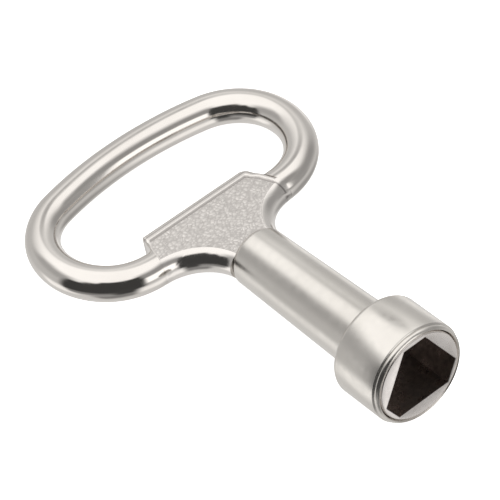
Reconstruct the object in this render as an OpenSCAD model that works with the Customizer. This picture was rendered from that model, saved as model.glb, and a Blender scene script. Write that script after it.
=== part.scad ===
// Utility key: a round head with a three-sided socket, a short shank and a finger loop.
// Origin: centre of the socket's mouth, on the flat end face.
// +Y runs along the shank towards the loop, and the loop lies in the XY plane.

/* [Head] */
// Outside diameter of the head
head_d = 16; // [15.4:0.1:18]
// Length of the head along the shank's axis
head_len = 9.6; // [8:0.1:12]
// Width of the bright chamfer round the front of the head
head_chamfer = 0.8; // [0.3:0.1:0.9]
// Radius of the head's rear edge
head_rear_r = 0.9; // [0.3:0.1:1.4]
// Thickness of the wall behind the socket core
head_back = 1.6; // [1.2:0.1:2.4]

/* [Socket] */
// Long sides of the three-sided socket
socket_long = 9; // [7:0.1:9]
// Short sides, across the socket's cut-off corners
socket_short = 3.9; // [3:0.1:3.9]

/* [Shank] */
// Distance from the end face to the shank's far end
shank_end = 36.2; // [34:0.1:37]
// Shank diameter where it leaves the head
shank_d_head = 10.5; // [9.6:0.1:11]
// Shank diameter at the loop
shank_d_bow = 9.4; // [9:0.1:9.6]
// Fillet between the shank and the head
shank_fillet = 0.5; // [0.2:0.1:0.8]

/* [Finger loop] */
// Diameter of the loop's round bar
bar_d = 5.4; // [5:0.1:5.5]
// Distance from the end face to the bar's centre line at the top of the loop
bow_top = 68.4; // [68:0.1:70]
// Radius of the flat crown of the loop
crown_r = 56; // [50:1:62]
// Half of the angle that the crown turns through
crown_half = 14.4; // [13:0.1:16]
// Radius and turn of the loop's upper corners
shoulder_r = 10.4; // [10:0.1:11]
shoulder_turn = 60; // [56:1:64]
// Radius and turn of the loop's sides
side_r = 12; // [11.5:0.1:12.5]
side_turn = 55; // [50:1:58]
// Radius of the loop's lower corners
heel_r = 9.8; // [9.5:0.1:10.2]

/* [Grip web] */
// Distance from the end face to the web's straight inner edge
web_edge_y = 50; // [49:0.1:51]
// Distance from the end face to the web's foot, where its two ends start
web_foot_y = 44; // [43.5:0.1:44.5]
// Reach of the left end from the middle, at its foot and at the straight edge
web_left_foot = 11.6; // [11.2:0.1:11.8]
web_left_top = 10.4; // [9.5:0.1:10.8]
// Reach of the right end, which leans in more
web_right_foot = 11.2; // [11:0.1:11.6]
web_right_top = 8.8; // [8.4:0.1:10.8]
// Thickness of the web, a little less than the bar
web_t = 5; // [4.9:0.1:5.2]
// Radius of the two concave flanks below the loop
flank_r = 7.5; // [7:0.1:7.6]
// Radius of the web's straight edge
web_round = 1.2; // [0.6:0.1:1.4]
// Radius of the edges of the web's two ends
web_end_round = 0.5; // [0.1:0.1:0.6]
// Corner radius at the left and at the right end of the straight edge
web_corner_left = 0.8; // [0.4:0.1:1.5]
web_corner_right = 2; // [0.4:0.1:2.4]

/* [Joints] */
// Diameter of the pegs on the loop's two ends
peg_d = 3.6; // [3:0.1:4]
// Length of those pegs
peg_len = 3; // [2:0.1:4]
// Diameter of the web's tang, inside the shank
tang_d = 4.6; // [4:0.1:4.8]
// Length of the tang
tang_len = 9; // [6:0.5:14]
// Diameter of the shank's nose, in the head's rear wall
nose_d = 8; // [6:0.1:8.5]
// Radial gap in each fixed joint
joint_gap = 0.05; // [0.03:0.01:0.08]
// Wall of the head's front ring at the end face
ring_wall = 0.1; // [0.1:0.05:0.2]

/* [Hidden] */

bright = "#d8d4ce";
satin = "#bdb8b2";
dull = "#a39e98";

head_r = head_d / 2;
core_len = head_len - head_back;
// The core fills the head's front, up to the inner edge of the chamfer
core_r = head_r - head_chamfer - ring_wall;
bar_r = bar_d / 2;

// The loop's arcs on one side: radius, then the heading at the arc's start and end. A heading of 0 is
// towards +X at the crown, and 180 is back towards the web.
heading_1 = crown_half;
heading_2 = heading_1 + shoulder_turn;
heading_3 = heading_2 + side_turn;
crown_c = [0, bow_top - crown_r];
shoulder_c = crown_c + (crown_r - shoulder_r) * along(heading_1);
side_c = shoulder_c + (shoulder_r - side_r) * along(heading_2);
heel_c = side_c + (side_r - heel_r) * along(heading_3);
heel_x = heel_c.x;
heel_y = heel_c.y - heel_r;
// Right half of the bar's centre line, from the crown towards the web: [x, y, heading]
half_line = concat(
    stretch(crown_c, crown_r, 0, heading_1, 4),
    stretch(shoulder_c, shoulder_r, heading_1, heading_2, 8),
    stretch(side_c, side_r, heading_2, heading_3, 8),
    stretch(heel_c, heel_r, heading_3, 180, 7)
);
bar_sides = 24;

// The concave flanks run from the bar's underside to the shank's width
flank_c = [shank_d_bow / 2 + flank_r, heel_y - bar_r - flank_r];
// The pegs run from inside the web to inside the bar
peg_from = web_right_foot - peg_len;
peg_to = heel_x + 1;

flank_steps = 14;
corner_steps = 6;
level_steps = 8;
round_fn = 96;

// Direction from an arc's centre to the bar, at a heading
function along(heading) = [sin(heading), cos(heading)];

// Stations along an arc of the bar, without its last point
function stretch(centre, r, from, to, steps) = [
    for (i = [0 : steps - 1])
        let (heading = from + (to - from) * i / steps, p = centre + r * along(heading))
        [p.x, p.y, heading]
];

// Points of an arc
function arc(centre, r, from, to, steps) =
    [for (i = [0 : steps]) let (a = from + (to - from) * i / steps) centre + r * [cos(a), sin(a)]];

function unit(v) = v / norm(v);

// Points of a round corner of radius r at b, on the way from a to c
function corner(a, b, c, r) =
    let (
        to_a = unit(a - b),
        to_c = unit(c - b),
        half_angle = acos(to_a * to_c) / 2,
        centre = b + unit(to_a + to_c) * r / sin(half_angle),
        first = b + to_a * r / tan(half_angle) - centre,
        last = b + to_c * r / tan(half_angle) - centre,
        from = atan2(first.y, first.x),
        swing = atan2(last.y, last.x) - from,
        turn = swing < -180 ? swing + 360 : swing > 180 ? swing - 360 : swing
    )
    arc(centre, r, from, from + turn, corner_steps);

// Reach of one end of the web at height y, from its reach at the foot and at the straight edge
function reach(foot, top, y) = foot + (top - foot) * (y - web_foot_y) / (web_edge_y - web_foot_y);

// One flank, from the neck out to the web's end, drawn in by flank_in and end_in. It stops where it
// meets the end's straight line, on which x = flank_c.x + offset - lean * rise at a rise above flank_c.
function flank(foot, top, flank_in, end_in) =
    let (
        r = flank_r + flank_in,
        neck_angle = 180 - asin((shank_end - flank_c.y) / r),
        lean = (foot - top) / (web_edge_y - web_foot_y),
        offset = reach(foot, top, flank_c.y) - end_in - flank_c.x,
        square = 1 + lean * lean,
        root = sqrt(offset * offset * lean * lean - square * (offset * offset - r * r)),
        rise = (offset * lean + root) / square,
        end_angle = acos((offset - lean * rise) / r)
    )
    arc(flank_c, r, neck_angle, end_angle, flank_steps);

function flip(points) = [for (i = [len(points) - 1 : -1 : 0]) [-points[i].x, points[i].y]];

// How far a round edge of radius r has drawn in at height z, on a plate of half thickness half_t
function edge_in(r, half_t, z) =
    let (rise = max(0, abs(z) - (half_t - r)))
    r - sqrt(max(0, r * r - rise * rise));

// The web's outline at height z. The flanks are round like the bar, so they draw in as it does.
function web_outline(z) =
    let (
        end_in = edge_in(web_end_round, web_t / 2, z),
        flank_in = bar_r - sqrt(bar_r * bar_r - z * z),
        right_flank = flank(web_right_foot, web_right_top, flank_in, end_in),
        left_flank = flip(flank(web_left_foot, web_left_top, flank_in, end_in)),
        edge_y = web_edge_y - edge_in(web_round, web_t / 2, z),
        right_tip = [reach(web_right_foot, web_right_top, edge_y) - end_in, edge_y],
        left_tip = [end_in - reach(web_left_foot, web_left_top, edge_y), edge_y]
    )
    concat(
        right_flank,
        corner(right_flank[flank_steps], right_tip, left_tip, web_corner_right),
        corner(right_tip, left_tip, left_flank[0], web_corner_left),
        left_flank
    );

// A part turned about the shank's axis, from a profile of [radius, distance from the end face]
module turned(profile) {
    rotate([-90, 0, 0])
        rotate_extrude($fn = round_fn)
            polygon(profile);
}

// A round hole or peg along the shank's axis
module rod_y(r, from, to) {
    translate([0, from, 0])
        rotate([-90, 0, 0])
            cylinder(r = r, h = to - from, $fn = round_fn);
}

// A round peg across the web, at the end of the loop's bar, or the hole for it with a gap all round
module peg(gap) {
    translate([peg_from - gap, heel_y, 0])
        rotate([0, 90, 0])
            cylinder(r = peg_d / 2 + gap, h = peg_to - peg_from + gap, $fn = round_fn);
}

module both_sides() {
    children();
    mirror([1, 0, 0]) children();
}

// The bar's last section, cut along the web's end; side is 1 on the right and -1 on the left
function end_section(side, foot, top) = [
    for (i = [0 : bar_sides - 1])
        let (u = 360 * i / bar_sides, y = heel_y - bar_r * cos(u))
        [side * reach(foot, top, y), y, bar_r * sin(u)]
];

// The loop's bar: round sections along its centre line, skinned from one end to the other
module bow_ring() {
    stations = concat(
        [for (i = [len(half_line) - 1 : -1 : 1]) let (s = half_line[i]) [-s[0], s[1], -s[2]]],
        half_line
    );
    count = len(stations) + 2;
    points = concat(
        end_section(-1, web_left_foot, web_left_top),
        [
            for (s = stations, i = [0 : bar_sides - 1])
                let (u = 360 * i / bar_sides, out = bar_r * cos(u) * along(s[2]))
                [s[0] + out.x, s[1] + out.y, bar_r * sin(u)]
        ],
        end_section(1, web_right_foot, web_right_top)
    );
    skin = [
        for (k = [0 : count - 2], i = [0 : bar_sides - 1])
            let (a = k * bar_sides, b = a + bar_sides, j = (i + 1) % bar_sides)
            [a + i, b + i, b + j, a + j]
    ];
    first_end = [for (i = [0 : bar_sides - 1]) i];
    last_end = [for (i = [bar_sides - 1 : -1 : 0]) (count - 1) * bar_sides + i];
    color(bright) {
        polyhedron(points, concat([first_end, last_end], skin));
        both_sides() peg(0);
    }
}

// The web's plate: one outline after another up the thickness, each drawn in as its height says
module web_plate() {
    half_t = web_t / 2;
    // Heights crowd towards the faces, where the edges turn over
    heights = [for (i = [-level_steps : level_steps]) half_t * sin(90 * i / level_steps)];
    levels = len(heights);
    rings = [for (z = heights) [for (p = web_outline(z)) [p.x, p.y, z]]];
    n = len(rings[0]);
    walls = [
        for (k = [0 : levels - 2], i = [0 : n - 1])
            let (j = (i + 1) % n)
            [k * n + i, (k + 1) * n + i, (k + 1) * n + j, k * n + j]
    ];
    floor_face = [for (i = [0 : n - 1]) i];
    top_face = [for (i = [n - 1 : -1 : 0]) (levels - 1) * n + i];
    polyhedron([for (ring = rings) each ring], concat([floor_face, top_face], walls));
}

module grip_web() {
    color(satin) {
        difference() {
            web_plate();
            both_sides() peg(joint_gap);
        }
        rod_y(tang_d / 2, shank_end - tang_len, shank_end + 2);
    }
}

module shank() {
    fillet_r = shank_d_head / 2 + shank_fillet;
    color(satin)
        difference() {
            turned(concat(
                [[0, core_len], [nose_d / 2, core_len], [nose_d / 2, head_len], [fillet_r, head_len]],
                arc([fillet_r, head_len + shank_fillet], shank_fillet, -90, -180, corner_steps),
                [[shank_d_bow / 2, shank_end], [0, shank_end]]
            ));
            rod_y(tang_d / 2 + joint_gap, shank_end - tang_len - joint_gap, shank_end + 1);
        }
}

module head_sleeve() {
    bore_r = core_r + joint_gap;
    rear = arc([head_r - head_rear_r, head_len - head_rear_r], head_rear_r, 0, 90, corner_steps);
    color(satin)
        turned(concat(
            [[bore_r, 0], [head_r - head_chamfer, 0], [head_r, head_chamfer]],
            rear,
            [[nose_d / 2 + joint_gap, head_len], [nose_d / 2 + joint_gap, core_len], [bore_r, core_len]]
        ));
}

// The socket's outline: an equilateral triangle with its corners cut off, one corner up
module socket_outline() {
    flat = (socket_long + 2 * socket_short) / (2 * sqrt(3));
    polygon([
        for (k = [0 : 2], end = [-1, 1])
            let (a = 90 + 120 * k)
            flat * [cos(a), sin(a)] + end * socket_long / 2 * [-sin(a), cos(a)]
    ]);
}

module socket_core() {
    overrun = 1;
    color(dull)
        difference() {
            rod_y(core_r, 0, core_len);
            translate([0, -overrun, 0])
                rotate([-90, 0, 0])
                    linear_extrude(core_len + 2 * overrun)
                        socket_outline();
        }
}

bow_ring();
grip_web();
shank();
head_sleeve();
socket_core();
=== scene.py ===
"""A small utility key: round head with a three-sided socket, satin shank, bright finger loop, grip web.

The CAD frame fixes every place and size. This script builds finer meshes for the five CAD nodes, with their
edges, textures and plated metal, and lights them as a small object in a white studio.
"""

import math

import bmesh
import bpy
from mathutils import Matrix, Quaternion, Vector, noise


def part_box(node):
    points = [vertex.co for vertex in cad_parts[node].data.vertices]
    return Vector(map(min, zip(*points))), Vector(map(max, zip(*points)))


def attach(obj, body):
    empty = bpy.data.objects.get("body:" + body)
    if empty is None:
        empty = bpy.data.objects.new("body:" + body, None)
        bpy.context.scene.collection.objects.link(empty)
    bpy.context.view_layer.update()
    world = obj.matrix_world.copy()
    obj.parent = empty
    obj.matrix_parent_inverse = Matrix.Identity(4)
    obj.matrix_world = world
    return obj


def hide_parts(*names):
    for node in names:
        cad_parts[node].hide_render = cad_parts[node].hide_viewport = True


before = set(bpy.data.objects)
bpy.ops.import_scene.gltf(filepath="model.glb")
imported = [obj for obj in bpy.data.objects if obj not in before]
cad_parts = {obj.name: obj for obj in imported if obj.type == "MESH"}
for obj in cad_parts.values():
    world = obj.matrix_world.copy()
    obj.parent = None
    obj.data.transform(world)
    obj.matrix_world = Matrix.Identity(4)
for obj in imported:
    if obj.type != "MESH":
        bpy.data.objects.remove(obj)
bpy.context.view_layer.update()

MM = 0.001

# ---------------------------------------------------------------------------------------------------------
# Sizes, in millimetres, from the CAD nodes' boxes
# ---------------------------------------------------------------------------------------------------------


def box_mm(node):
    low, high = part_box(node)
    return Vector(low) / MM, Vector(high) / MM


loop_low, loop_high = box_mm("bow_ring")
web_high = box_mm("grip_web")[1]
shank_high = box_mm("shank")[1]
head_low, head_high = box_mm("head_sleeve")
core_high = box_mm("socket_core")[1]

BAR_R = loop_high.z                      # radius of the finger loop's round bar
CROWN_Y = loop_high.y - BAR_R            # the bar's centre line at the top of the loop
WEB_TOP = web_high.y                     # the web's straight inner edge
WEB_T = web_high.z                       # half of the web's thickness
SHANK_END = shank_high.y                 # the shank's flat end, where the web starts
HEAD_R = head_high.x
HEAD_LEN = head_high.y
CORE_R = core_high.x
CORE_LEN = core_high.y

# The rest repeats the design: the loop's arcs, as radius and turn in degrees from the crown down
CROWN_ARC = (56.0, 14.4)
SHOULDER_ARC = (10.4, 60.0)
SIDE_ARC = (12.0, 55.0)
HEEL_RADIUS = 9.8
SHANK_R_HEAD = 5.25
SHANK_R_BOW = 4.7
NOSE_R = 4.0
FLANK_R = 7.5
WEB_FOOT_Y = 44.0
WEB_LEFT = (11.6, 10.4)     # reach of the web's left end, at its foot and at the straight edge
WEB_RIGHT = (11.2, 8.8)
WEB_EDGE_R = 1.2
WEB_END_R = 0.5
CORNER_LEFT_R = 0.8
CORNER_RIGHT_R = 2.0
SOCKET_LONG = 9.0
SOCKET_SHORT = 3.9
JOINT_GAP = 0.05           # all round between a peg and its bore


# ---------------------------------------------------------------------------------------------------------
# Small helpers
# ---------------------------------------------------------------------------------------------------------


def smoothstep(low, high, value):
    t = min(1.0, max(0.0, (value - low) / (high - low)))
    return t * t * (3 - 2 * t)


def along(heading):
    """Direction from an arc's centre to the bar, at a heading in degrees: 0 at the crown, 180 at the heel."""
    a = math.radians(heading)
    return Vector((math.sin(a), math.cos(a)))


def make_object(name, points, faces, materials, face_slots=None):
    """A smooth-shaded mesh object from points in millimetres."""
    mesh = bpy.data.meshes.new(name)
    mesh.from_pydata([Vector(p) * MM for p in points], [], faces)
    for material in materials:
        mesh.materials.append(material)
    if face_slots:
        mesh.polygons.foreach_set("material_index", face_slots)
    mesh.polygons.foreach_set("use_smooth", [True] * len(mesh.polygons))
    mesh.validate()
    mesh.update()
    obj = bpy.data.objects.new(name, mesh)
    bpy.context.scene.collection.objects.link(obj)
    return obj


def clean(obj, crease=35.0):
    """Joins points that coincide, drops empty faces, turns every face outward and marks sharp edges."""
    work = bmesh.new()
    work.from_mesh(obj.data)
    bmesh.ops.remove_doubles(work, verts=work.verts, dist=1e-6)
    bmesh.ops.dissolve_degenerate(work, edges=work.edges, dist=1e-7)
    bmesh.ops.recalc_face_normals(work, faces=work.faces)
    work.to_mesh(obj.data)
    work.free()
    obj.data.set_sharp_from_angle(angle=math.radians(crease))


def stand_for(piece, node):
    clean(piece)
    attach(piece, "root")
    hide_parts(node)


def revolve(name, profile, materials, slots, steps=192, ripple=None):
    """A part turned about the shank's axis from a closed profile of (radius, y).

    slots gives the material of each run between two points of the profile.
    """
    points, faces, face_slots = [], [], []
    rings = []
    for radius, y in profile:
        if radius < 1e-6:
            rings.append([len(points)] * steps)
            points.append((0, y, 0))
            continue
        ring = []
        for i in range(steps):
            a = 2 * math.pi * i / steps
            grow = ripple(a, y) if ripple else 0.0
            ring.append(len(points))
            points.append(((radius + grow) * math.cos(a), y, (radius + grow) * math.sin(a)))
        rings.append(ring)
    count = len(rings)
    for k in range(count):
        near, far = rings[k], rings[(k + 1) % count]
        if near[0] == near[1] and far[0] == far[1]:
            continue
        for i in range(steps):
            j = (i + 1) % steps
            corners = [near[i], far[i], far[j], near[j]]
            corners = [c for n, c in enumerate(corners) if c not in corners[:n]]
            faces.append(corners)
            face_slots.append(slots[k])
    return make_object(name, points, faces, materials, face_slots)


def rounded(centre, radius, start, end, steps):
    """Points of an arc in a profile, angles in degrees."""
    out = []
    for i in range(steps + 1):
        a = math.radians(start + (end - start) * i / steps)
        out.append((centre[0] + radius * math.cos(a), centre[1] + radius * math.sin(a)))
    return out


# ---------------------------------------------------------------------------------------------------------
# Materials
# ---------------------------------------------------------------------------------------------------------


class Nodes:
    """Short calls for building a node tree."""

    def __init__(self, tree):
        self.tree = tree
        tree.nodes.clear()

    def add(self, kind, **settings):
        node = self.tree.nodes.new(kind)
        for key, value in settings.items():
            if key.startswith("in_"):
                node.inputs[key[3:].replace("_", " ")].default_value = value
            else:
                setattr(node, key, value)
        return node

    def link(self, out, into):
        self.tree.links.new(out, into)

    def math(self, operation, a, b=None):
        node = self.add("ShaderNodeMath", operation=operation)
        for socket, value in zip(node.inputs, (a, b)):
            if value is None:
                continue
            if isinstance(value, (int, float)):
                socket.default_value = value
            else:
                self.link(value, socket)
        return node.outputs[0]

    def mapped(self, vector, scale):
        node = self.add("ShaderNodeMapping")
        node.inputs["Scale"].default_value = scale
        self.link(vector, node.inputs["Vector"])
        return node.outputs["Vector"]

    def noise(self, vector, scale, detail=3.0, roughness=0.5):
        node = self.add("ShaderNodeTexNoise")
        node.inputs["Scale"].default_value = scale
        node.inputs["Detail"].default_value = detail
        node.inputs["Roughness"].default_value = roughness
        self.link(vector, node.inputs["Vector"])
        return node.outputs["Fac"]

    def spread(self, value, low, high):
        """Maps 0.35 to 0.65 of a noise onto low to high."""
        node = self.add("ShaderNodeMapRange")
        for key, setting in (("From Min", 0.35), ("From Max", 0.65), ("To Min", low), ("To Max", high)):
            node.inputs[key].default_value = setting
        self.link(value, node.inputs["Value"])
        return node.outputs["Result"]

    def blend(self, factor, a, b):
        node = self.add("ShaderNodeMix", data_type="RGBA")
        self.link(factor, node.inputs["Factor"])
        for key, colour in (("A", a), ("B", b)):
            socket = [s for s in node.inputs if s.name == key and s.type == "RGBA"][0]
            socket.default_value = (*colour, 1)
        return [s for s in node.outputs if s.type == "RGBA"][0]

    def bump(self, height, strength, distance, under=None):
        node = self.add("ShaderNodeBump")
        node.inputs["Strength"].default_value = strength
        node.inputs["Distance"].default_value = distance * MM
        self.link(height, node.inputs["Height"])
        if under:
            self.link(under, node.inputs["Normal"])
        return node.outputs["Normal"]


def start_metal(name):
    material = bpy.data.materials.new(name)
    material.use_nodes = True
    nodes = Nodes(material.node_tree)
    shader = nodes.add("ShaderNodeBsdfPrincipled", in_Metallic=1.0)
    out = nodes.add("ShaderNodeOutputMaterial")
    nodes.link(shader.outputs["BSDF"], out.inputs["Surface"])
    place = nodes.add("ShaderNodeTexCoord").outputs["Object"]
    return material, nodes, shader, place


def bright_plate():
    """Polished nickel on a casting: clear reflections, bent a little by the casting's soft waves."""
    material, nodes, shader, place = start_metal("bright_plate")
    cloud = nodes.noise(place, 90, 4)
    nodes.link(nodes.blend(nodes.spread(cloud, 0, 1), (0.80, 0.772, 0.742), (0.74, 0.71, 0.68)),
               shader.inputs["Base Color"])
    haze = nodes.noise(place, 420, 5, 0.6)
    nodes.link(nodes.spread(haze, 0.07, 0.16), shader.inputs["Roughness"])
    waves = nodes.bump(nodes.noise(place, 260, 2), 0.05, 0.12)
    pits = nodes.bump(nodes.noise(place, 2600, 3, 0.7), 0.05, 0.02, waves)
    nodes.link(pits, shader.inputs["Normal"])
    return material


def satin_plate():
    """Turned and plated: a broad soft sheen, with fine marks round the axis."""
    material, nodes, shader, place = start_metal("satin_plate")
    cloud = nodes.noise(place, 70, 4)
    nodes.link(nodes.blend(nodes.spread(cloud, 0, 1), (0.77, 0.745, 0.71), (0.70, 0.675, 0.64)),
               shader.inputs["Base Color"])
    turning = nodes.noise(nodes.mapped(place, (60, 5200, 60)), 1.0, 3, 0.6)
    grain = nodes.noise(place, 900, 4, 0.65)
    nodes.link(nodes.spread(grain, 0.17, 0.27), shader.inputs["Roughness"])
    marks = nodes.bump(turning, 0.10, 0.02)
    skin = nodes.bump(grain, 0.10, 0.03, marks)
    nodes.link(skin, shader.inputs["Normal"])
    return material


def web_plate():
    """The web: glossy flanks and edges, duller on the flat of its faces, with painted shade in its hollows
    and lines.
    """
    material, nodes, shader, place = start_metal("cast_plate")
    field = nodes.add("ShaderNodeAttribute", attribute_name="field").outputs["Fac"]
    border = nodes.add("ShaderNodeAttribute", attribute_name="border").outputs["Fac"]
    painted_shade = nodes.add("ShaderNodeAttribute", attribute_name="painted_shade").outputs["Fac"]
    # Painted shade: the base colour darkens in the pebbles' hollows, the groove and the edge line
    nodes.link(nodes.blend(painted_shade, (0.79, 0.762, 0.735), (0.33, 0.31, 0.30)), shader.inputs["Base Color"])
    grain = nodes.noise(place, 1500, 4, 0.65)
    dull = nodes.spread(grain, 0.26, 0.42)
    clear = nodes.spread(grain, 0.09, 0.17)
    matt = nodes.math("MAXIMUM", field, border)
    rough = nodes.math("ADD", nodes.math("MULTIPLY", dull, matt),
                       nodes.math("MULTIPLY", clear, nodes.math("SUBTRACT", 1.0, matt)))
    nodes.link(rough, shader.inputs["Roughness"])
    skin = nodes.bump(grain, 0.12, 0.04)
    nodes.link(skin, shader.inputs["Normal"])
    return material


def faced_metal():
    """The flat end face: matt, with faint rings left by facing it off."""
    material, nodes, shader, place = start_metal("socket_face")
    cloud = nodes.noise(place, 240, 4)
    nodes.link(nodes.blend(nodes.spread(cloud, 0, 1), (0.80, 0.765, 0.745), (0.71, 0.675, 0.655)),
               shader.inputs["Base Color"])
    parts = nodes.add("ShaderNodeSeparateXYZ")
    nodes.link(place, parts.inputs["Vector"])
    square = nodes.math("ADD", nodes.math("POWER", parts.outputs["X"], 2.0),
                        nodes.math("POWER", parts.outputs["Z"], 2.0))
    radius = nodes.math("SQRT", square)
    rings = nodes.math("SINE", nodes.math("MULTIPLY", radius, 21000.0))
    grain = nodes.noise(place, 1300, 4, 0.65)
    nodes.link(nodes.spread(grain, 0.22, 0.36), shader.inputs["Roughness"])
    marks = nodes.bump(rings, 0.05, 0.01)
    nodes.link(nodes.bump(grain, 0.15, 0.04, marks), shader.inputs["Normal"])
    return material


def dark_metal():
    """Inside the socket: dull, darker than the plate and unevenly mottled."""
    material, nodes, shader, place = start_metal("socket_dark")
    mottle = nodes.noise(place, 500, 5, 0.6)
    # Base colour mottled between a mid and a dark brownish grey
    nodes.link(nodes.blend(nodes.spread(mottle, 0, 1), (0.52, 0.465, 0.435), (0.28, 0.248, 0.232)),
               shader.inputs["Base Color"])
    nodes.link(nodes.spread(mottle, 0.22, 0.42), shader.inputs["Roughness"])
    nodes.link(nodes.bump(nodes.noise(place, 1600, 4), 0.3, 0.05), shader.inputs["Normal"])
    return material


BRIGHT = bright_plate()
SATIN = satin_plate()
CAST = web_plate()
FACED = faced_metal()
DARK = dark_metal()

# ---------------------------------------------------------------------------------------------------------
# The finger loop: round sections along tangent arcs
# ---------------------------------------------------------------------------------------------------------


def loop_line():
    """Half of the bar's centre line, from the crown down to the heel, as (x, y, heading)."""
    arcs = [CROWN_ARC, SHOULDER_ARC, SIDE_ARC]
    arcs.append((HEEL_RADIUS, 180.0 - sum(turn for _, turn in arcs)))
    centre = Vector((0, CROWN_Y - CROWN_ARC[0]))
    heading = 0.0
    half = []
    for k, (radius, turn) in enumerate(arcs):
        if k:
            centre = centre + (arcs[k - 1][0] - radius) * along(heading)
        steps = max(2, round(radius * math.radians(turn) / 0.35))
        for i in range(steps):
            here = heading + turn * i / steps
            p = centre + radius * along(here)
            half.append((p.x, p.y, here))
        heading += turn
    foot = centre + HEEL_RADIUS * along(180.0)
    return half, foot


END_HEADING = 150.0     # from here on, the bar's sections lean towards the web's ends
END_STEPS = 26          # how many sections it takes to get there
FILLET_R = 0.45         # fillet between the bar and the web's end

half_line, heel = loop_line()
FLANK_C = Vector((SHANK_R_BOW + FLANK_R, heel.y - BAR_R - FLANK_R))


def reach(end, y):
    """How far one end of the web lies from the middle at height y; end is WEB_LEFT or WEB_RIGHT."""
    return end[0] + (end[1] - end[0]) * (y - WEB_FOOT_Y) / (WEB_TOP - WEB_FOOT_Y)


def bar_wave(base):
    """The casting's soft unevenness, mostly inward."""
    return 0.012 * noise.noise(base * 0.22) - 0.007


def bar_section(x, y, heading, sides):
    """One round section of the bar."""
    out = along(heading)
    ring = []
    for i in range(sides):
        u = 2 * math.pi * i / sides
        lean = math.cos(u)
        base = Vector((x + BAR_R * lean * out.x, y + BAR_R * lean * out.y, BAR_R * math.sin(u)))
        r = BAR_R + bar_wave(base)
        ring.append((x + r * lean * out.x, y + r * lean * out.y, r * math.sin(u)))
    return ring


def end_run(side, end, sides):
    """The bar's last sections, which lean over more and more until the last one lies on the web's end.

    Each of the bar's lines follows the heel's arc and then runs straight on. A small fillet fills the inner
    corner between the bar and the web's end.
    """
    rings = []
    centre = Vector((heel.x, heel.y + HEEL_RADIUS))
    for step in range(1, END_STEPS + 1):
        ring = []
        for i in range(sides):
            u = 2 * math.pi * i / sides
            swing = HEEL_RADIUS + BAR_R * math.cos(u)
            stop_x = reach(end, heel.y - BAR_R * math.cos(u))
            last = math.pi - math.asin(max(0.0, stop_x - heel.x) / swing)
            arc = swing * (last - math.radians(END_HEADING))
            length = arc + max(0.0, heel.x - stop_x)
            gone = length * step / END_STEPS
            heading = math.radians(END_HEADING) + min(gone, arc) / swing
            base = centre + swing * Vector((math.sin(heading), math.cos(heading)))
            base.x -= max(0.0, gone - arc)
            r = BAR_R + bar_wave(Vector((side * base.x, base.y, BAR_R * math.sin(u))))
            left = length - gone
            toe = FILLET_R - min(FILLET_R, max(0.0, left))
            r += (FILLET_R - math.sqrt(FILLET_R ** 2 - toe ** 2)) * smoothstep(0.2, 0.9, -math.cos(u))
            shift = (r - BAR_R) * math.cos(u)
            ring.append((side * (base.x + shift * math.sin(heading)), base.y + shift * math.cos(heading),
                         r * math.sin(u)))
        rings.append(ring)
    return rings


def finger_loop():
    sides = 72
    stations = [s for s in half_line if s[2] <= END_HEADING]
    rings = list(reversed(end_run(-1, WEB_LEFT, sides)))
    rings += [bar_section(-x, y, -h, sides) for x, y, h in reversed(stations[1:])]
    rings += [bar_section(x, y, h, sides) for x, y, h in stations]
    rings += end_run(1, WEB_RIGHT, sides)
    points = [p for ring in rings for p in ring]
    faces = []
    count = len(rings)
    for k in range(count - 1):
        for i in range(sides):
            j = (i + 1) % sides
            a, b = k * sides, (k + 1) * sides
            faces.append((a + i, a + j, b + j, b + i))
    faces.append(list(range(sides - 1, -1, -1)))
    faces.append([(count - 1) * sides + i for i in range(sides)])
    loop = make_object("finger_loop", points, faces, [BRIGHT])
    stand_for(loop, "bow_ring")


# ---------------------------------------------------------------------------------------------------------
# The grip web: round flanks, a pebbled field on both faces, a low smooth border
# ---------------------------------------------------------------------------------------------------------

BORDER_CREST = 0.35     # flat crest of the border, measured in from the straight edge's round
BORDER_SLOPE = 0.42     # width of the slope from that crest down to the field
BORDER_H = 0.15         # height of the crest over the field
GROOVE_H = 0.08         # depth of the fine groove at the slope's foot
GROOVE_W = 0.13
EDGE_LINE_H = 0.06      # depth of the fine line where the round edge meets the crest
EDGE_LINE_W = 0.10
FACE_SINK = 0.03        # how far the field's pebbles stay under the design's flat face
SHARP_END_R = 0.12      # round of the web's end where the bar carries on its surface
MASK_EDGE = 0.12        # width over which the masks fade at the field's edges
PEBBLE_SIZE = 0.56      # mean width of a pebble
PEBBLE_H = 0.045        # depth of the hollows between pebbles


def corner_of(end):
    """Radius, centre and first angle of a corner's arc, which touches the end and the straight edge."""
    radius = CORNER_RIGHT_R if end is WEB_RIGHT else CORNER_LEFT_R
    slope = (end[0] - end[1]) / (WEB_TOP - WEB_FOOT_Y)
    y = WEB_TOP - radius
    return radius, Vector((reach(end, y) - radius * math.sqrt(1 + slope ** 2), y)), math.atan(slope)


def side_x(y, end):
    """Reach of the web's outline at height y, out to the flank, the end or the corner."""
    x = reach(end, y)
    drop = FLANK_R ** 2 - (y - FLANK_C.y) ** 2
    if drop > 0:
        x = min(x, FLANK_C.x - math.sqrt(drop))
    radius, centre, first = corner_of(end)
    up = y - centre.y
    if up >= radius * math.sin(first):
        x = min(x, centre.x + math.sqrt(max(0.0, radius ** 2 - up ** 2)))
    return x


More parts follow.
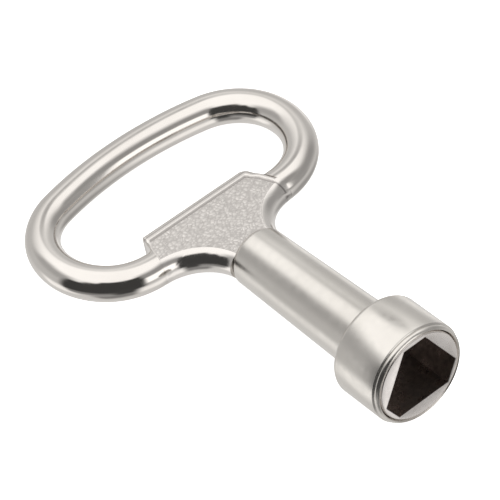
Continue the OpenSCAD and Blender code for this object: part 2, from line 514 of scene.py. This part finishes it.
def edge_distances(x, y):
    """Distances in from the flank, the straight edge, the end and the corner, and how far round the corner
    a point of the web's plan lies: 0 at the end, 1 at the straight edge."""
    end = WEB_RIGHT if x > 0 else WEB_LEFT
    ax = abs(x)
    radius, centre, first = corner_of(end)
    flank = math.hypot(ax - FLANK_C.x, y - FLANK_C.y) - FLANK_R
    top = max(0.0, WEB_TOP - y)
    side = max(0.0, (reach(end, y) - ax) * math.cos(first))
    turn = math.atan2(y - centre.y, ax - centre.x)
    if turn <= first or turn >= math.pi / 2 or y < centre.y:
        return flank, top, side, min(top, side), 1.0 if top < side else 0.0
    corner = max(0.0, radius - math.hypot(ax - centre.x, y - centre.y))
    return flank, top, side, corner, (turn - first) / (math.pi / 2 - first)


def round_edge(distance, radius, full):
    """Height of a face near a round edge."""
    if distance >= radius:
        return full
    return full - radius + math.sqrt(max(0.0, radius ** 2 - (radius - distance) ** 2))


def flank_height(distance):
    """The flank is round like the bar."""
    d = min(BAR_R, max(0.0, distance))
    return math.sqrt(max(0.0, BAR_R ** 2 - (BAR_R - d) ** 2))


def pebble(x, y, face):
    """Height from 0 to 1 of the pebbled texture: rounded cells of uneven size."""
    p = Vector((0.85 * x, y, 7.3 * face)) / PEBBLE_SIZE
    p += 0.45 * noise.noise_vector(p * 0.8)
    distances = noise.voronoi(p)[0]
    cell = smoothstep(-0.1, 0.55, distances[1] - distances[0])
    return min(1.0, max(0.0, cell * (0.7 + 0.6 * noise.noise(p * 0.6)) + 0.12 * noise.noise(p * 2.7)))


def web_face(x, y, face):
    """(height, field mask, mask of painted shade, mask of the flat of the face) of one face of the web."""
    flank, top, end, corner, turn = edge_distances(x, y)
    end_r = SHARP_END_R + (WEB_END_R - SHARP_END_R) * smoothstep(heel.y + BAR_R - 1.2, heel.y + BAR_R, y)
    corner_r = end_r + (WEB_EDGE_R - end_r) * turn
    # The border follows the straight edge, and at the right it goes on round the corner and down the end
    inward = min(top - WEB_EDGE_R, corner - corner_r) if x > 0 else top - WEB_EDGE_R
    down = smoothstep(BORDER_CREST, BORDER_CREST + BORDER_SLOPE, inward)
    crest = BORDER_H * (1 - down)
    groove = GROOVE_H * math.exp(-((inward - BORDER_CREST - BORDER_SLOPE) / GROOVE_W) ** 2)
    edge_line = math.exp(-((inward + 0.06) / EDGE_LINE_W) ** 2)
    full = WEB_T - FACE_SINK + crest
    flank_z = flank_height(flank)
    height = min(flank_z, round_edge(top, WEB_EDGE_R, full), round_edge(end, end_r, full),
                 round_edge(corner, corner_r, full))
    inside_flank = smoothstep(0.0, MASK_EDGE, flank_z - full)
    inside_top = smoothstep(0.0, MASK_EDGE, inward - BORDER_CREST - BORDER_SLOPE)
    inside_end = smoothstep(0.05, 0.25, end - end_r)
    field = inside_flank * inside_top * inside_end * smoothstep(0.0, 0.3, y - SHANK_END)
    bumps = pebble(x, y, face) if field > 0 else 1.0
    if flank_z > full:
        height -= groove * inside_end + EDGE_LINE_H * edge_line
        height -= field * PEBBLE_H * (1 - bumps)
    # Painted shade mask: the groove, the edge line and the hollows between pebbles are darkened in colour
    lines = max(groove / GROOVE_H * inside_end, edge_line * inside_flank)
    dark = max(0.42 * field * smoothstep(0.5, 0.0, bumps), lines)
    border = inside_flank * smoothstep(-0.3, 0.0, min(inward, end - end_r))
    return height, field, dark, border


def web_rows():
    """Heights up the web's plan, crowded towards the straight edge."""
    rows = []
    plain = WEB_TOP - WEB_EDGE_R
    steps = round((plain - SHANK_END) / 0.09)
    rows += [SHANK_END + (plain - SHANK_END) * i / steps for i in range(steps)]
    turns = 18
    rows += [plain + WEB_EDGE_R * math.sin(math.radians(90 * i / turns)) for i in range(turns + 1)]
    return rows


def web_columns(left, right):
    """Places across one row, crowded towards both ends."""
    turns, middle = 30, 150
    crowded = min(BAR_R, (right - left) / 2 * 0.8)
    ins = [crowded * (1 - math.cos(math.radians(90 * i / turns))) for i in range(turns)]
    inner_l, inner_r = left + crowded, right - crowded
    return ([left + d for d in ins]
            + [inner_l + (inner_r - inner_l) * i / middle for i in range(middle + 1)]
            + [right - d for d in reversed(ins)])


def grip_web():
    points, faces = [], []
    # Masks for the material: the field, the painted shade in hollows and lines, and the border
    masks = {"field": [], "painted_shade": [], "border": []}
    rows = web_rows()
    grid = {}
    for face in (1, -1):
        for r, y in enumerate(rows):
            columns = web_columns(-side_x(y, WEB_LEFT), side_x(y, WEB_RIGHT))
            for c, x in enumerate(columns):
                height, field, painted_shade, border = web_face(x, y, face)
                grid[face, r, c] = len(points)
                points.append((x, y, face * height))
                masks["field"].append(field)
                masks["painted_shade"].append(painted_shade)
                masks["border"].append(border)
    wide, tall = len(columns), len(rows)
    for face in (1, -1):
        for r in range(tall - 1):
            for c in range(wide - 1):
                up = r + 1
                quad = [grid[face, r, c], grid[face, r, c + 1], grid[face, up, c + 1], grid[face, up, c]]
                faces.append(quad if face > 0 else quad[::-1])
    rim = ([(0, c) for c in range(wide)] + [(r, wide - 1) for r in range(1, tall)]
           + [(tall - 1, c) for c in range(wide - 2, -1, -1)] + [(r, 0) for r in range(tall - 2, 0, -1)])
    for k, spot in enumerate(rim):
        after = rim[(k + 1) % len(rim)]
        a, b = grid[(1, *spot)], grid[(1, *after)]
        c, d = grid[(-1, *after)], grid[(-1, *spot)]
        faces.append([d, c, b, a])
    web = make_object("grip_web_plate", points, faces, [CAST])
    for name, values in masks.items():
        web.data.attributes.new(name, "FLOAT", "POINT").data.foreach_set("value", values)
    stand_for(web, "grip_web")


# ---------------------------------------------------------------------------------------------------------
# The turned parts: shank and head sleeve
# ---------------------------------------------------------------------------------------------------------


def shank_ripple(angle, y):
    """Faint unevenness of the polished stem."""
    p = Vector((math.cos(angle) * 2.2, y * 0.16, math.sin(angle) * 2.2))
    return 0.012 * noise.noise(p) - 0.006


def shank():
    fillet = 0.5
    end_break = 0.8
    foot = SHANK_R_HEAD + fillet
    start = HEAD_LEN + fillet
    profile = [(0, CORE_LEN), (NOSE_R, CORE_LEN), (NOSE_R, HEAD_LEN), (foot, HEAD_LEN)]
    profile += rounded((foot, start), fillet, -90, -180, 8)[1:]
    slots = [1, 0, 0] + [0] * 8
    stem_steps = 60
    for i in range(1, stem_steps + 1):
        y = start + (SHANK_END - end_break - start) * i / stem_steps
        profile.append((SHANK_R_HEAD + (SHANK_R_BOW - SHANK_R_HEAD) * (y - start) / (SHANK_END - start), y))
        slots.append(0)
    tip_r = profile[-1][0]
    # The far end is broken by a narrow cone between two small rounds
    for drop, back in ((0.01, 0.72), (0.04, 0.64), (0.30, 0.20), (0.36, 0.11), (0.44, 0.03), (0.54, 0.0)):
        profile.append((tip_r - drop, SHANK_END - back))
    slots += [0] * 6
    profile.append((0, SHANK_END))
    slots += [0, 0]
    stem = revolve("shank_stem", profile, [SATIN, DARK], slots, ripple=shank_ripple)
    stand_for(stem, "shank")


def head_sleeve():
    """Round head: rounded rear edge, rounded chamfer with a fine cut behind it, a groove round the core."""
    chamfer = 0.8
    rear_r = 0.9
    bore = CORE_R + JOINT_GAP
    # The front: a groove round the core, a rounded bright chamfer, a fine cut and a small lip behind it
    profile = [(bore, 0.50), (bore + 0.03, 0.44), (bore + 0.14, 0.10)]
    profile += [(bore + 0.19, 0.03), (bore + 0.25, 0.0)]
    profile += [(HEAD_R - 0.50, 0.05), (HEAD_R - 0.40, 0.13), (HEAD_R - 0.30, 0.26), (HEAD_R - 0.23, 0.42)]
    profile += [(HEAD_R - 0.20, 0.56), (HEAD_R - 0.24, 0.66), (HEAD_R - 0.26, 0.72), (HEAD_R - 0.22, 0.78)]
    profile += [(HEAD_R - 0.10, chamfer + 0.04), (HEAD_R - 0.03, chamfer + 0.09), (HEAD_R, chamfer + 0.17)]
    slots = [0] * len(profile)
    profile += rounded((HEAD_R - rear_r, HEAD_LEN - rear_r), rear_r, 0, 90, 14)
    slots += [0] * 15
    profile += [(NOSE_R + JOINT_GAP, HEAD_LEN), (NOSE_R + JOINT_GAP, CORE_LEN), (bore, CORE_LEN)]
    slots += [1, 1, 1]
    head = revolve("head_shell", profile, [SATIN, DARK], slots)
    stand_for(head, "head_sleeve")


# ---------------------------------------------------------------------------------------------------------
# The socket core: flat face, three-sided hole with cut-off corners and a fine raised burr
# ---------------------------------------------------------------------------------------------------------


def socket_points(grow, per_side=24):
    """The hole's outline as (x, z), pushed out by grow, with a corner of the triangle upward."""
    flat = (SOCKET_LONG + 2 * SOCKET_SHORT) / (2 * math.sqrt(3))
    corner_flat = flat * 2 - SOCKET_SHORT * math.sqrt(3) / 2
    normals = []
    for k in range(3):
        normals.append((270 + 120 * k, flat + grow))
        normals.append((330 + 120 * k, corner_flat + grow))
    corners = []
    for k in range(6):
        (a0, d0), (a1, d1) = normals[k], normals[(k + 1) % 6]
        a0, a1 = math.radians(a0), math.radians(a1)
        det = math.cos(a0) * math.sin(a1) - math.sin(a0) * math.cos(a1)
        corners.append(Vector(((d0 * math.sin(a1) - d1 * math.sin(a0)) / det,
                               (d1 * math.cos(a0) - d0 * math.cos(a1)) / det)))
    out = []
    for k in range(6):
        a, b = corners[k], corners[(k + 1) % 6]
        out += [a + (b - a) * i / per_side for i in range(per_side)]
    return out


def socket_core():
    per_side = 24
    burr_h = 0.05
    rings = []
    hole = socket_points(0.0, per_side)
    steps = len(hole)

    def circle(radius, y):
        """A ring whose points lie at the same bearings as the hole's."""
        return [(p.normalized().x * radius, y, p.normalized().y * radius) for p in hole]

    def outline(grow, y):
        return [(p.x, y, p.y) for p in socket_points(grow, per_side)]

    rings.append(circle(CORE_R, CORE_LEN))
    rings.append(circle(CORE_R, 0.44))
    rings.append(circle(CORE_R - 0.09, 0.08))
    rings.append(circle(CORE_R - 0.18, 0.0))
    rings.append(outline(0.20, 0.0))
    rings.append(outline(0.13, -burr_h * 0.6))
    rings.append(outline(0.06, -burr_h))
    rings.append(outline(0.0, 0.03))
    for i in range(1, 9):
        rings.append(outline(0.0, 0.03 + (CORE_LEN - 0.03) * i / 8))
    points = [p for ring in rings for p in ring]
    faces, face_slots = [], []
    count = len(rings)
    for k in range(count):
        a, b = k * steps, (k + 1) % count * steps
        for i in range(steps):
            j = (i + 1) % steps
            faces.append((a + i, a + j, b + j, b + i))
            face_slots.append(1 if k >= 7 and k < count - 1 else 0)
    core = make_object("socket_insert", points, faces, [FACED, DARK], face_slots)
    stand_for(core, "socket_core")


# ---------------------------------------------------------------------------------------------------------
# Studio: floor, camera, surroundings
# ---------------------------------------------------------------------------------------------------------


def floor():
    """A plain white floor where the key would lie, under the head's rear edge and the loop's far end."""
    gap = 0.05
    head_y = HEAD_LEN - 0.5
    rise = (loop_low.z - head_low.z) / (CROWN_Y - head_y)
    half = 1200.0
    points = []
    for x, y in ((-half, -half), (half, -half), (half, half), (-half, half)):
        points.append((x, y, head_low.z - gap + (y - head_y) * rise))
    material = bpy.data.materials.new("studio_floor")
    material.use_nodes = True
    nodes = Nodes(material.node_tree)
    paper = nodes.add("ShaderNodeBsdfDiffuse", in_Color=(0.9, 0.9, 0.9, 1))
    glow = nodes.add("ShaderNodeEmission", in_Color=(1, 1, 1, 1), in_Strength=0.9)
    both = nodes.add("ShaderNodeAddShader")
    out = nodes.add("ShaderNodeOutputMaterial")
    nodes.link(paper.outputs[0], both.inputs[0])
    nodes.link(glow.outputs[0], both.inputs[1])
    nodes.link(both.outputs[0], out.inputs["Surface"])
    sheet = make_object("studio_floor", points, [(0, 1, 2, 3)], [material])
    sheet.visible_glossy = False
    sheet.visible_diffuse = False


CAMERA_AIM = Vector((0.0, 37.6, 0.0))
CAMERA_FROM = Vector((-179.5, -261.0, 328.9))
CAMERA_ROLL = 12.2
CAMERA_LENS = 236.0


def camera():
    data = bpy.data.cameras.new("camera")
    data.lens = CAMERA_LENS
    data.clip_start, data.clip_end = 0.01, 10
    eye = bpy.data.objects.new("camera", data)
    bpy.context.scene.collection.objects.link(eye)
    ahead = (CAMERA_AIM - CAMERA_FROM).normalized()
    eye.location = CAMERA_FROM * MM
    eye.rotation_mode = "QUATERNION"
    eye.rotation_quaternion = Quaternion(ahead, math.radians(CAMERA_ROLL)) @ ahead.to_track_quat("-Z", "Y")
    bpy.context.scene.camera = eye


# The room, as light of a given strength: (what, bearing, elevation, half width, half height, softness,
# strength). Bearings are in degrees from +Y towards +X. Later cards cover earlier ones.
CARDS = [
    ("left ceiling", -38, 58, 60, 11, 8, 1.28),
    ("grey arch", 158, 41, 38, 17, 12, 0.35),
    ("far corner", 43, 49, 14, 9, 8, 0.50),
    ("right wall", 116, 12, 34, 20, 15, 0.37),
    ("right glow", 52, -14, 12, 9, 8, 1.02),
    ("right floor", 105, -50, 32, 18, 14, 0.38),
    ("low wall", 140, -8, 22, 8, 8, 0.38),
    ("window floor", 178, -40, 24, 14, 10, 1.15),
    ("window", 170, 11, 20, 16, 4, 1.45),
    ("left halo", -49, 29, 25, 14, 10, 0.45),
    ("left floor", -62, -30, 18, 12, 8, 1.15),
    ("shade floor", -130, -48, 30, 14, 10, 0.26),
    ("low shade", -108, -25, 34, 8, 6, 0.26),
    ("dark side", -121, 7, 50, 27, 5, 0.055),
    ("dark middle", -120, 30, 31, 13, 5, 0.055),
    ("dark top", -138, 34, 32, 17, 5, 0.055),
    ("dark low", -145, -20, 15, 17, 8, 0.060),
]
CEILING = 1.25
HORIZON = 0.60
GROUND = 0.73


def surroundings():
    """Light from all round: bright ceiling, pale ground, and a few cards. The camera itself sees white."""
    world = bpy.data.worlds.new("studio")
    bpy.context.scene.world = world
    world.use_nodes = True
    nodes = Nodes(world.node_tree)
    parts = nodes.add("ShaderNodeSeparateXYZ")
    nodes.link(nodes.add("ShaderNodeTexCoord").outputs["Generated"], parts.inputs["Vector"])
    x, y, z = parts.outputs
    bearing = nodes.math("MULTIPLY", nodes.math("ARCTAN2", x, y), 180 / math.pi)
    height = nodes.math("MULTIPLY", nodes.math("ARCSINE", z), 180 / math.pi)

    def ramp(value, low, high):
        node = nodes.add("ShaderNodeMapRange", interpolation_type="SMOOTHSTEP")
        node.inputs["From Min"].default_value = low
        node.inputs["From Max"].default_value = high
        nodes.link(value, node.inputs["Value"])
        return node.outputs["Result"]

    def mix(factor, under, over):
        """under where factor is 0, over where it is 1."""
        step = nodes.math("MULTIPLY", nodes.math("SUBTRACT", over, under), factor)
        return nodes.math("ADD", under, step)

    strength = mix(ramp(height, 14, 58), HORIZON, CEILING)
    strength = mix(ramp(height, -8, -34), strength, GROUND)
    for _, card_bearing, card_height, half_w, half_h, soft, light in CARDS:
        turn = nodes.math("SUBTRACT", bearing, float(card_bearing))
        turn = nodes.math("WRAP", turn, 180.0)
        turn.node.inputs[2].default_value = -180.0
        across = ramp(nodes.math("ABSOLUTE", turn), half_w + soft, half_w - soft)
        rise = nodes.math("ABSOLUTE", nodes.math("SUBTRACT", height, float(card_height)))
        up = ramp(rise, half_h + soft, half_h - soft)
        strength = mix(nodes.math("MULTIPLY", across, up), strength, light)
    seen = nodes.add("ShaderNodeBackground", in_Color=(1, 1, 1, 1), in_Strength=1.0)
    lit = nodes.add("ShaderNodeBackground", in_Color=(1, 0.985, 0.965, 1))
    nodes.link(strength, lit.inputs["Strength"])
    pick = nodes.add("ShaderNodeMixShader")
    nodes.link(nodes.add("ShaderNodeLightPath").outputs["Is Camera Ray"], pick.inputs["Fac"])
    nodes.link(lit.outputs[0], pick.inputs[1])
    nodes.link(seen.outputs[0], pick.inputs[2])
    out = nodes.add("ShaderNodeOutputWorld")
    nodes.link(pick.outputs[0], out.inputs["Surface"])
    bpy.context.scene.view_settings.view_transform = "Standard"


finger_loop()
grip_web()
shank()
head_sleeve()
socket_core()
floor()
camera()
surroundings()

bpy.context.view_layer.update()
